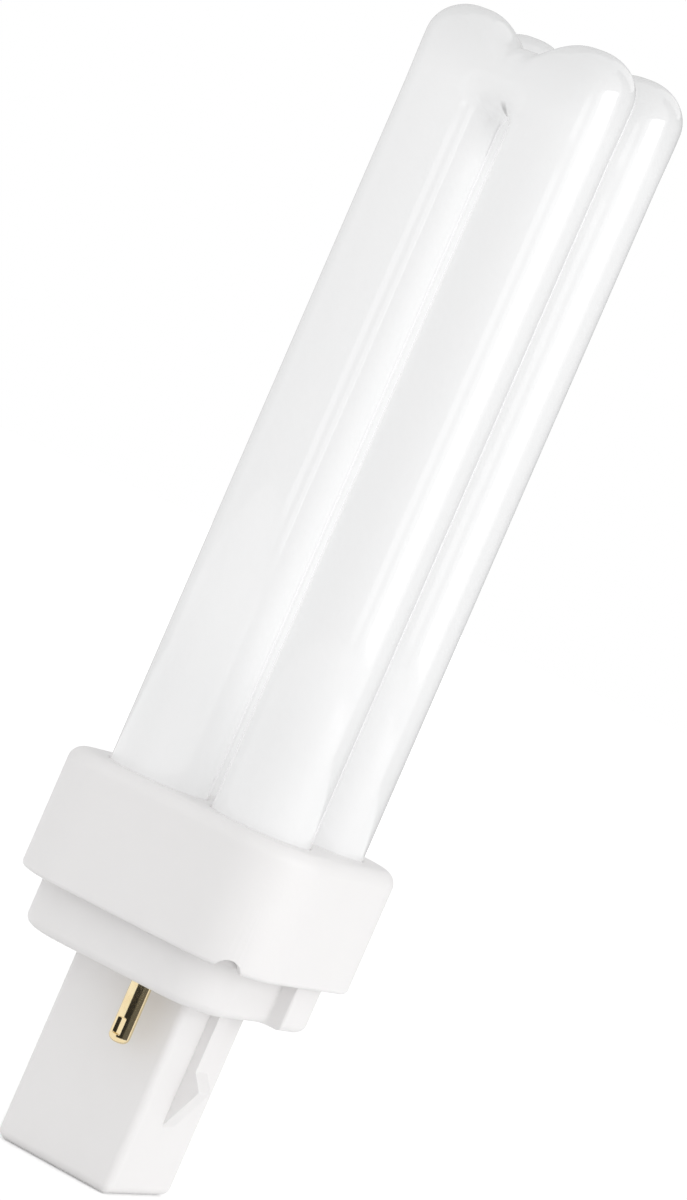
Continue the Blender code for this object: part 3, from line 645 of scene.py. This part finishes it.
@dataclass
class Studio:
    """Camera at the photograph's angle, white floor and world, tall soft box, dark ceiling and cards."""

    eye_azimuth: float = math.radians(26.0)
    eye_distance: float = 0.444
    eye_height: float = 0.0832
    aim_height: float = 0.0712
    aim_right: float = 0.00152
    lean: float = math.radians(23.55)
    lens: float = 116.8
    sensor: float = 36.0
    nearest: float = 0.01
    world_light: float = 1.00
    floor_colour: float = 0.84
    floor_lift: float = 0.14
    floor_half: float = 3.0
    floor_level: float = -0.00005
    box_azimuth: float = math.radians(90.5)
    box_distance: float = 0.50
    box_width: float = 0.308
    box_low: float = 0.018
    box_high: float = 0.30
    box_brightness: float = 2.25
    ceiling_level: float = 0.90
    ceiling_half: float = 0.30
    ceiling_colour: float = 0.05
    cards: tuple[Card, ...] = (
        Card("card behind left", (190.0, 274.0), 0.42, (0.0, 0.90), 0.60),
        Card("card behind right", (150.0, 190.0), 0.42, (0.0, 0.30), 0.28),
        Card("card beside right", (116.0, 150.0), 0.42, (0.0, 0.90), 0.38),
        Card("pale card in front", (274.0, 399.0), 0.60, (0.0, 0.90), 0.80),
        Card("pale card at the right", (54.0, 63.0), 0.60, (0.0, 0.90), 0.80),
        Card("bright card beside the box", (63.0, 73.4), 0.523, (0.018, 0.30), 1.40),
        Card("pale card behind the gap", (168.0, 192.0), 0.018, (0.045, 0.126), 0.76),
        Card("low card in front", (-1.0, 50.0), 0.045, (0.0, 0.022)),
        Card("low card at the right", (50.0, 112.0), 0.045, (0.0, 0.022), 0.10),
        Card("narrow strip in front", (39.0, 52.0), 0.50, (0.018, 0.168), 1.50))

    def build(self) -> None:
        """Make everything round the lamp."""
        self.camera()
        self.world()
        self.floor()
        self.soft_box()
        self.ceiling()
        for card in self.cards:
            card.build()

    def around(self, azimuth: float, distance: float, height: float) -> Vector:
        """Place at an azimuth turned from -Y towards +X, a distance from the lamp's axis and a height."""
        return Vector((distance * math.sin(azimuth), -distance * math.cos(azimuth), height))

    def camera(self) -> None:
        """Aim the camera at the lamp and lean it, so that the lamp's top leans to the right."""
        eye = self.around(self.eye_azimuth, self.eye_distance, self.eye_height)
        level_right = Vector((math.cos(self.eye_azimuth), math.sin(self.eye_azimuth), 0.0))
        aim = level_right * self.aim_right + Vector((0.0, 0.0, self.aim_height))
        back = (eye - aim).normalized()
        up = back.cross(level_right).normalized()
        leaned_up = up * math.cos(self.lean) - level_right * math.sin(self.lean)
        leaned_right = leaned_up.cross(back)
        data = bpy.data.cameras.new("camera")
        data.lens = self.lens
        data.sensor_width = self.sensor
        data.clip_start = self.nearest
        camera = add_object("camera", data)
        turn = Matrix((leaned_right, leaned_up, back)).transposed().to_4x4()
        camera.matrix_world = Matrix.Translation(eye) @ turn
        bpy.context.scene.camera = camera

    def seen_directly(self, tree: NodeTree) -> NodeSocket:
        """Add the nodes that tell how a surface is seen.

        Args:
            tree: Node tree of the world or a material.

        Returns:
            1 for camera, glossy and transmission rays and 0 for light on the lamp.
        """
        path = tree.nodes.new("ShaderNodeLightPath")
        seen = path.outputs["Is Camera Ray"]
        for name in ("Is Glossy Ray", "Is Transmission Ray"):
            seen = Sums(tree).calculate('MAXIMUM', seen, path.outputs[name])
        return seen

    def world(self) -> None:
        """White world, with one strength as a light and full white as a background."""
        world = bpy.data.worlds.new("white studio")
        world.use_nodes = True
        tree = world.node_tree
        light = tree.nodes["Background"]
        light.inputs["Color"].default_value = WHITE
        light.inputs["Strength"].default_value = self.world_light
        backdrop = tree.nodes.new("ShaderNodeBackground")
        backdrop.inputs["Color"].default_value = WHITE
        mix = tree.nodes.new("ShaderNodeMixShader")
        tree.links.new(self.seen_directly(tree), mix.inputs[0])
        tree.links.new(light.outputs[0], mix.inputs[1])
        tree.links.new(backdrop.outputs[0], mix.inputs[2])
        tree.links.new(mix.outputs[0], tree.nodes["World Output"].inputs["Surface"])
        bpy.context.scene.world = world
        bpy.context.scene.view_settings.view_transform = 'Standard'

    def floor(self) -> None:
        """Plain white floor that keeps the lamp's shadow."""
        floor = level_sheet("floor", self.floor_half, self.floor_level, upward=True)
        material = matt_material("white floor", self.floor_colour)
        tree = material.node_tree
        inputs = tree.nodes[SHADER].inputs
        inputs["Specular IOR Level"].default_value = 0.0
        lift = self.floor_lift + 1.0 - self.floor_colour
        glow = Sums(tree).calculate('MULTIPLY', self.seen_directly(tree), lift)
        tree.links.new(glow, inputs["Emission Strength"])
        floor.data.materials.append(material)

    def soft_box(self) -> None:
        """Tall soft box to the right, which draws the long bright streaks on the tubes."""
        height = self.box_high - self.box_low
        data = bpy.data.lights.new("tall soft box", 'AREA')
        data.shape = 'RECTANGLE'
        data.size = self.box_width
        data.size_y = height
        data.energy = self.box_brightness * math.pi * self.box_width * height
        box = add_object("tall soft box", data)
        place = self.around(self.box_azimuth, self.box_distance, (self.box_low + self.box_high) / 2)
        outward = Vector((place.x, place.y, 0.0)).normalized()
        upward = Vector((0.0, 0.0, 1.0))
        turn = Matrix((upward.cross(outward), upward, outward)).transposed().to_4x4()
        box.matrix_world = Matrix.Translation(place) @ turn

    def ceiling(self) -> None:
        """Dark ceiling that takes some of the light from above."""
        ceiling = level_sheet("ceiling", self.ceiling_half, self.ceiling_level, upward=False)
        ceiling.data.materials.append(matt_material("dark ceiling", self.ceiling_colour))
        ceiling.visible_camera = False
        ceiling.visible_glossy = False


# Lamp

@dataclass
class GlassVessel:
    """Sealed glass vessel: two U tubes in rows along X, fused by a bridge tube under the collar."""

    tube_radius: float = 0.0060
    leg_gap: float = 0.0022
    row_gap: float = 0.0026
    dome_rise: float = 0.0043
    dome_outset: float = 0.0010
    saddle_dip: float = 0.0028
    saddle_spread: float = 1.9
    saddle_flat: float = 0.13
    crotch_drop: float = 0.0107
    crotch_reach: float = 0.0037
    front_drop: float = 0.0008
    bridge_radius: float = 0.0025
    bridge_level: float = 0.0362
    pinch_width: float = 0.0100
    pinch_thickness: float = 0.0028
    pinch_height: float = 0.0025
    pinch_taper: float = 0.0035
    tip_radius: float = 0.0012
    tip_length: float = 0.0008
    end_dome_rise: float = 0.0026
    round_ease: float = 3.0
    around: int = ROUND_POINTS
    bridge_around: int = 48
    line_steps: int = 400
    dome_steps: int = 44
    saddle_steps: int = 30
    pinch_steps: int = 12
    end_steps: int = 13
    foot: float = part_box("glass_discharge_tube")[0].z
    top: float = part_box("glass_discharge_tube")[1].z

    @property
    def leg_at(self) -> float:
        """Distance of a leg's axis from the middle of its tube."""
        return self.tube_radius + self.leg_gap / 2

    @property
    def row_at(self) -> float:
        """Distance of a tube's plane from the lamp's axis."""
        return self.tube_radius + self.row_gap / 2

    @property
    def crotch_radius(self) -> float:
        """Radius of the inner line at the top of the gap between the legs."""
        return self.leg_gap / 2

    def dome_line(self) -> tuple[np.ndarray, np.ndarray]:
        """Outline the right half of the bend, foot to saddle.

        It is a quarter ellipse up to the peak, then falls as dip ((1 - cos(pi share)) / 2) ^ spread to a
        level stretch over the middle.

        Returns:
            Distances from the middle, and heights above the centre of the crotch.
        """
        peak_x, peak = self.leg_at + self.dome_outset, self.crotch_drop + self.crotch_radius
        outer_x = self.leg_at + self.tube_radius
        sweep = np.linspace(0.0, np.pi / 2, self.line_steps)
        share = np.linspace(0.0, 1.0, self.line_steps)[1:]
        fall = np.pi * np.minimum(1.0, share / (1 - self.saddle_flat))
        across = np.concatenate([[outer_x], peak_x + (outer_x - peak_x) * np.cos(sweep),
                                 peak_x * (1 - share)])
        up = np.concatenate([[0.0], peak - self.dome_rise * (1 - np.sin(sweep)),
                             peak - self.saddle_dip * ((1 - np.cos(fall)) / 2) ** self.saddle_spread])
        return across, up

    def bend_rings(self, row: float, top: float) -> np.ndarray:
        """Rings of the bend, on planes that turn about the centre of the crotch from one leg to the other.

        A ring spans from the inner line, a circle, to the outer line. Its two rounds reach along it by their
        own lengths and what is left between them is level: across = middle + reach cos a + level
        tanh(ease cos a) / tanh ease, and depth = radius sin a.

        Args:
            row: Place of the tube's plane along Y.
            top: Level of the domes' peaks.

        Returns:
            Points, as an array of rings by points by three.
        """
        across, up = self.dome_line()
        peak_angle = math.atan2(self.crotch_drop + self.crotch_radius, self.leg_at + self.dome_outset)
        rising = np.concatenate([np.linspace(0.0, peak_angle, self.dome_steps, endpoint=False),
                                 np.linspace(peak_angle, np.pi / 2, self.saddle_steps + 1)])
        ray = np.arctan2(up, across)
        outer_x, outer_z = np.interp(rising, ray, across), np.interp(rising, ray, up)
        angle = np.concatenate([np.pi - rising[:-1], rising[::-1]])[:, None]
        outer_x = np.concatenate([-outer_x[:-1], outer_x[::-1]])[:, None]
        outer_z = np.concatenate([outer_z[:-1], outer_z[::-1]])[:, None]
        inner_x, inner_z = self.crotch_radius * np.cos(angle), self.crotch_radius * np.sin(angle)
        half = np.hypot(outer_x - inner_x, outer_z - inner_z) / 2
        spare = self.tube_radius - self.crotch_reach
        near = np.minimum(1.0, 2 * np.abs(np.cos(angle)))
        inner = np.minimum(half, self.crotch_reach + spare * np.cos(angle) ** 2)
        outer = np.minimum(half, self.crotch_reach + spare * near ** 2 * (3 - 2 * near))
        turn = np.linspace(0.0, 2 * np.pi, self.around, endpoint=False)[None, :]
        reach = np.where(np.cos(turn) > 0, outer, inner)
        level = half - (inner + outer) / 2
        eased = np.tanh(self.round_ease * np.cos(turn)) / np.tanh(self.round_ease)
        along = (inner - outer) / 2 + level * eased + reach * np.cos(turn)
        centre_z = top - self.crotch_drop - self.crotch_radius
        return np.stack([(outer_x + inner_x) / 2 + along * np.cos(angle),
                         row + self.tube_radius * np.sin(turn) + 0 * along,
                         centre_z + (outer_z + inner_z) / 2 + along * np.sin(angle)], axis=-1)

    def leg_rings(self, row: float, side: int, widths: np.ndarray, depths: np.ndarray,
                  levels: np.ndarray) -> np.ndarray:
        """Level ovals about the axis of the leg at one side, -1 or 1, of the tube in a row."""
        return oval_rings(side * widths, depths, levels, self.around) + [side * self.leg_at, row, 0.0]

    def tube(self, name: str, row: float, top: float) -> Object:
        """One U tube: pinched foot, leg, double-domed bend, leg, foot with a sealed tip.

        The pinch eases from the round leg to its flat foot as (1 - cos(pi share)) / 2. The other foot is a
        dome of radius cos t and drop sin t.

        Args:
            name: Name of the object.
            row: Place of the tube's plane along Y.
            top: Level of the domes' peaks.

        Returns:
            The tube.
        """
        share = np.linspace(0.0, 1.0, self.pinch_steps + 1)
        ease = (1 - np.cos(np.pi * share)) / 2
        widths, depths = (np.append(self.tube_radius + (size / 2 - self.tube_radius) * ease, size / 2)
                          for size in (self.pinch_width, self.pinch_thickness))
        levels = np.append(self.foot + self.pinch_height + self.pinch_taper * (1 - share), self.foot)
        pinch = self.leg_rings(row, -1, widths, depths, levels)
        sweep = np.linspace(0.0, math.acos(self.tip_radius / self.tube_radius), self.end_steps + 1)
        radii = self.tube_radius * np.cos(sweep)
        drop = self.end_dome_rise * np.sin(sweep) / np.sin(sweep[-1])
        radii = np.append(radii, self.tip_radius)
        levels = np.append(self.foot + self.tip_length + self.end_dome_rise - drop, self.foot)
        tipped = self.leg_rings(row, 1, radii, radii, levels)
        return closed_tube(name, np.concatenate([pinch[::-1], self.bend_rings(row, top), tipped]))

    def build(self) -> None:
        """Join both tubes and the bridge into one piece and dress it."""
        vessel = self.tube("glass_vessel", -self.row_at, self.top - self.front_drop)
        rear = self.tube("rear tube", self.row_at, self.top)
        bridge = rod("bridge", self.bridge_radius, -self.row_at, self.row_at, self.bridge_around)
        bridge.matrix_world = (Matrix.Translation((self.leg_at, 0.0, self.bridge_level))
                               @ Matrix.Rotation(math.pi / 2, 4, 'X'))
        combine(vessel, [bridge, rear], Join.ADD)
        shade(vessel, sharp_degrees=50, weighted=False)
        dress(vessel, COATED_GLASS, "glass_discharge_tube")


@dataclass
class Collar:
    """Square collar, open below, with soft top edges, four leg holes and a round notch in its rim."""

    glass: GlassVessel
    corner: float = 0.0080
    wall: float = 0.0015
    top_fillet: float = 0.0017
    rim_fillet: float = 0.0005
    inner_rim_fillet: float = 0.0002
    hole_clearance: float = 0.00012
    hole_round: float = 0.00025
    notch_radius: float = 0.0017
    notch_sink: float = 0.0005
    notch_turn: float = math.radians(43)
    support: float = 0.0004
    hole_steps: int = 5
    inner_rim_steps: int = 4
    low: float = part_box("collar_shell")[0].z
    high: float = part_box("collar_shell")[1].z
    half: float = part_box("collar_shell")[1].x

    def leg_hole(self, x: float, y: float) -> Object:
        """Solid that cuts a hole whose upper edge is rounded outward: radius + round (1 - cos t).

        Args:
            x: Place of the leg along X.
            y: Place of the leg along Y.

        Returns:
            The solid.
        """
        radius = self.glass.tube_radius + self.hole_clearance
        sweep = np.linspace(0.0, np.pi / 2, self.hole_steps + 1)
        radii = np.concatenate([[radius], radius + self.hole_round * (1 - np.cos(sweep)),
                                [radius + self.hole_round]])
        levels = np.concatenate([[self.high - 2 * self.wall],
                                 self.high - self.hole_round * (1 - np.sin(sweep)), [self.high + self.wall]])
        hole = closed_tube(f"leg hole {x:.4f} {y:.4f}", oval_rings(radii, radii, levels))
        hole.location = (x, y, 0.0)
        return hole

    def notch(self) -> Object:
        """Level bar that cuts the notch through the lower rim.

        Returns:
            The bar.
        """
        bar = rod("notch", self.notch_radius, 0.0, 2 * self.half)
        bar.matrix_world = (Matrix.Translation((0.0, 0.0, self.low - self.notch_sink))
                            @ Matrix.Rotation(self.notch_turn, 4, 'Z') @ Matrix.Rotation(math.pi / 2, 4, 'X'))
        return bar

    def build(self) -> None:
        """Carry the section round the square, cut the holes and the notch, and dress the piece."""
        section = (Section(self.top_fillet + self.support, self.high).line(self.top_fillet, self.high)
                   .bend(0.0, self.high - self.top_fillet, True)
                   .line(0.0, self.low + self.rim_fillet)
                   .bend(self.rim_fillet, self.low, False)
                   .line(self.wall - self.inner_rim_fillet, self.low)
                   .bend(self.wall, self.low + self.inner_rim_fillet, True, self.inner_rim_steps)
                   .line(self.wall, self.high - self.wall))
        collar = closed_tube("collar", Plan.rectangle(self.half, self.half, self.corner).rings(section))
        holes = [self.leg_hole(x * self.glass.leg_at, y * self.glass.row_at)
                 for x, y in ((-1, -1), (1, -1), (-1, 1), (1, 1))]
        combine(collar, [*holes, self.notch()], Join.CUT)
        shade(collar, sharp_degrees=35)
        dress(collar, WHITE_PLASTIC, "collar_shell")


@dataclass
class PinBase:
    """One moulding: keyed tier, hollow square post with two barbed ribs, and the skirt in the collar."""

    pin_places: tuple[Span, ...]
    seat: float = 0.0238
    tier_half_y: float = 0.014408
    recess_x: float = 0.0130
    lug_x: float = 0.0151
    step_y: float = 0.0019
    small_corner: float = 0.0060
    large_corner: float = 0.0080
    key_round: float = 0.0003
    tier_fillet: float = 0.0011
    tier_wall: float = 0.0011
    seat_plate: float = 0.0016
    post_half: float = 0.00795
    post_corner: float = 0.0009
    post_end_fillet: float = 0.0012
    post_wall: float = 0.0014
    rib_half: float = 0.0015
    rib_proud: float = 0.0012
    barb_proud: float = 0.0026
    rib_end: float = 0.0160
    barb_peak: float = 0.0141
    barb_foot: float = 0.0087
    rib_round: float = 0.00015
    rib_segments: int = 2
    pin_hole_radius: float = 0.00132
    skirt_low: float = 0.0301
    skirt_wall: float = 0.0014
    skirt_corner: float = 0.0062
    overlap: float = 0.0008
    support: float = 0.0004
    skirt_half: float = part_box("pin_base")[1].x
    skirt_high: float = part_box("pin_base")[1].z

    def tier(self) -> Object:
        """Keyed tier: each side is recessed, then steps out to a lug, and its seat edge is rounded.

        Returns:
            The tier.
        """
        half = ((self.recess_x, -self.tier_half_y, self.small_corner),
                (self.recess_x, self.step_y, self.key_round), (self.lug_x, self.step_y, self.key_round),
                (self.lug_x, self.tier_half_y, self.large_corner))
        plan = Plan(half + tuple((-x, -y, radius) for x, y, radius in half))
        section = (Section(self.tier_fillet + self.support, self.seat).line(self.tier_fillet, self.seat)
                   .bend(0.0, self.seat + self.tier_fillet, True)
                   .line(0.0, self.skirt_low + self.overlap))
        return closed_tube("tier", plan.rings(section))

    def post(self) -> Object:
        """Square post with narrow corner rounds and a rounded end.

        Returns:
            The post.
        """
        section = (Section(self.post_end_fillet + self.support, 0.0).line(self.post_end_fillet, 0.0)
                   .bend(0.0, self.post_end_fillet, True)
                   .line(0.0, self.seat + self.overlap))
        plan = Plan.rectangle(self.post_half, self.post_half, self.post_corner)
        return closed_tube("pin_base_moulding", plan.rings(section))

    def rib(self, turn: float) -> Object:
        """Upright rib that swells into a barb, with a ramp below it, its edges slightly rounded.

        Args:
            turn: Turn of the rib about Z from the side at +X.

        Returns:
            The rib.
        """
        root, top = self.post_half - self.overlap, self.seat + self.overlap / 2
        side = np.array([(root, top), (self.post_half + self.rib_proud, top),
                         (self.post_half + self.rib_proud, self.rib_end),
                         (self.post_half + self.barb_proud, self.barb_peak),
                         (self.post_half, self.barb_foot), (root, self.barb_foot)])
        rings = np.stack([np.stack([side[:, 0], np.full(len(side), y), side[:, 1]], axis=-1)
                          for y in (-self.rib_half, self.rib_half)])
        rib = closed_tube(f"rib {turn:.1f}", rings)
        bevel = rib.modifiers.new("soft edges", 'BEVEL')
        bevel.width = self.rib_round
        bevel.segments = self.rib_segments
        rib.matrix_world = Matrix.Rotation(turn, 4, 'Z')
        return settle(rib)

    def block(self, name: str, half_x: float, half_y: float, corner: float, low: float,
              high: float) -> Object:
        """Upright block with rounded corners, from half its widths and its two levels."""
        plan = Plan.rectangle(half_x, half_y, corner)
        return closed_tube(name, plan.rings(Section(0.0, low).line(0.0, high)))

    def hollows(self) -> list[Object]:
        """Solids that hollow out the skirt, the tier and the post, and that pierce the pin holes.

        Returns:
            The solids.
        """
        over = self.skirt_high + self.overlap
        skirt_half = self.skirt_half - self.skirt_wall
        post_half = self.post_half - self.post_wall
        tools = [self.block("skirt hollow", skirt_half, skirt_half, self.skirt_corner - self.skirt_wall,
                            self.skirt_low + self.overlap, over),
                 self.block("tier hollow", self.recess_x - self.tier_wall, self.tier_half_y - self.tier_wall,
                            self.small_corner - self.tier_wall, self.seat + self.seat_plate, over),
                 self.block("post hollow", post_half, post_half, self.post_corner, self.post_wall, over)]
        for x, y in self.pin_places:
            hole = rod(f"pin hole {y:.3f}", self.pin_hole_radius, self.seat - self.seat_plate,
                       self.seat + 2 * self.seat_plate)
            hole.location = (x, y, 0.0)
            tools.append(hole)
        return tools

    def build(self) -> None:
        """Join the forms, hollow them and dress the piece."""
        base = self.post()
        skirt = self.block("skirt", self.skirt_half, self.skirt_half, self.skirt_corner, self.skirt_low,
                           self.skirt_high)
        combine(base, [self.rib(0.0), self.rib(math.pi), self.tier(), skirt], Join.ADD)
        combine(base, self.hollows(), Join.CUT)
        shade(base, sharp_degrees=35)
        dress(base, WHITE_PLASTIC, "pin_base")


@dataclass
class ContactPin:
    """Hollow brass pin with a round end, a flared head in the base and a crimp on its outward side."""

    name: str
    node: str
    x: float
    y: float
    radius: float = 0.00125
    tip_round: float = 0.0008
    head_radius: float = 0.0015
    head_height: float = 0.0006
    bore: float = 0.00065
    end_wall: float = 0.0010
    crimp_width: float = 0.0011
    crimp_height: float = 0.0019
    crimp_depth: float = 0.0003
    crimp_hollow: float = 0.6
    crimp_above_tip: float = 0.0010
    crimp_edge: float = 0.00012
    around: int = 160
    tip_steps: int = 11
    wall_steps: int = 129

    def build(self) -> None:
        """Turn the section about the pin's axis, press the crimp into it and dress the piece."""
        low, high = (corner.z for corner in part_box(self.node))
        sweep = np.linspace(0.0, np.pi / 2, self.tip_steps + 1)[1:]
        wall = np.linspace(high - self.head_height, low + self.tip_round, self.wall_steps + 1)
        radii = np.concatenate([[self.bore, self.bore, self.head_radius, self.head_radius],
                                np.full(len(wall), self.radius),
                                self.radius - self.tip_round * (1 - np.cos(sweep))])
        levels = np.concatenate([[low + self.end_wall, high, high, high - self.head_height], wall,
                                 low + self.tip_round * (1 - np.sin(sweep))])
        rings = oval_rings(radii, radii, levels, self.around)
        outside = slice(4, None)
        rings[outside] = self.crimped(rings[outside], low + self.crimp_above_tip)
        pin = closed_tube(self.name, rings + [self.x, self.y, 0.0])
        shade(pin, sharp_degrees=40, weighted=False)
        dress(pin, PIN_BRASS, self.node)

    def crimped(self, rings: np.ndarray, crimp_low: float) -> np.ndarray:
        """Press a rectangular, hollow-ground dent into the side that faces away from the lamp's axis.

        Inside the dent a point moves in along its radius to radius - depth (1 - hollow x^2), where x runs
        from 0 in the dent's middle to 1 at its sides. Its edges ease in and out as 3 t^2 - 2 t^3.

        Args:
            rings: Points of the outer wall about the pin's own axis.
            crimp_low: Level of the dent's lower edge.

        Returns:
            The moved points.
        """
        outward = rings[..., 1] * math.copysign(1.0, self.y)
        aside = np.abs(rings[..., 0])
        middle = crimp_low + self.crimp_height / 2
        within = np.minimum(self.crimp_width / 2 - aside,
                            self.crimp_height / 2 - np.abs(rings[..., 2] - middle))
        inside = np.clip(within / self.crimp_edge + 0.5, 0.0, 1.0) * (outward > 0)
        weight = inside ** 2 * (3 - 2 * inside)
        plane = self.radius - self.crimp_depth * (1 - self.crimp_hollow * (2 * aside / self.crimp_width) ** 2)
        scale = np.where(outward > plane, plane / np.maximum(outward, plane), 1.0)
        scale = 1 - weight * (1 - scale)
        moved = rings.copy()
        moved[..., :2] *= scale[..., None]
        return moved


def dress_inner_nodes() -> None:
    """Give the solids inside the collar and the post their own finishes."""
    for name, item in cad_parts.items():
        for part, finish in INNER_FINISHES.items():
            if part in name:
                finish.cover(item)
                LOG.info("%s: %s", name, finish.name)


def main() -> None:
    """Build the studio and the lamp, and report each piece."""
    logging.basicConfig(level=logging.INFO, format="%(message)s")
    Studio().build()
    glass = GlassVessel()
    glass.build()
    Collar(glass).build()
    pin_x, pin_y = PIN_OFFSET_X, math.sqrt((PIN_SPACING / 2) ** 2 - PIN_OFFSET_X ** 2)
    PinBase(((pin_x, -pin_y), (-pin_x, pin_y))).build()
    ContactPin("pin_front", "contact_pin_front", pin_x, -pin_y).build()
    ContactPin("pin_rear", "contact_pin_rear", -pin_x, pin_y).build()
    dress_inner_nodes()


if __name__ == "__main__":
    main()
